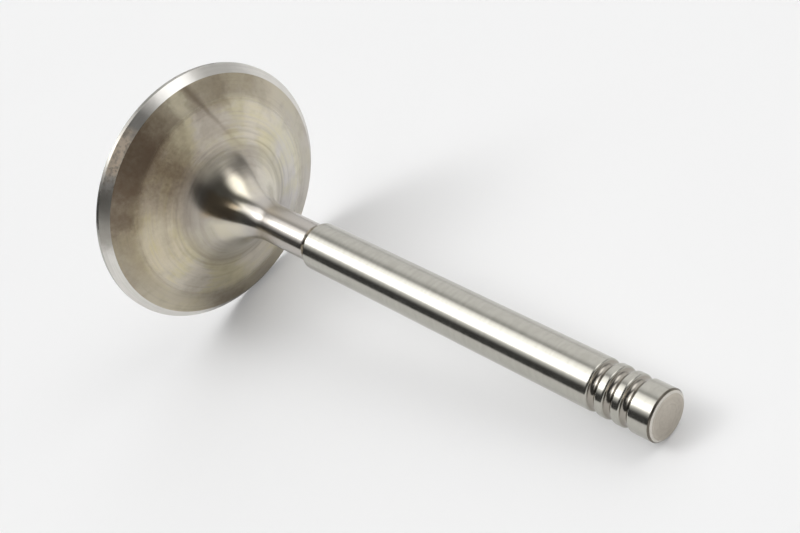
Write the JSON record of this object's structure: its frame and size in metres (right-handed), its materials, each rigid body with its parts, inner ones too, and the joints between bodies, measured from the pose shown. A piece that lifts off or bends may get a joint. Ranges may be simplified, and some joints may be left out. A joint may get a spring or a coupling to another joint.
{
  "type": "engine poppet valve",
  "caption": "Poppet valve for a piston engine: flat-faced head with a conical seat, flared neck, straight ground stem and round keeper grooves below the tip.",
  "frame": {"origin": "centre of the head's flat combustion face", "axes": "+Z along the stem from the combustion face to the tip; X and Y are equal, because the valve is round"},
  "size_m": [0.0466, 0.0464, 0.1003],
  "materials": {
    "valve_steel": "turned head, ground seat, ground and polished stem"
  },
  "bodies": {
    "root": {"valve": "valve_steel"}
  },
  "joints": []
}
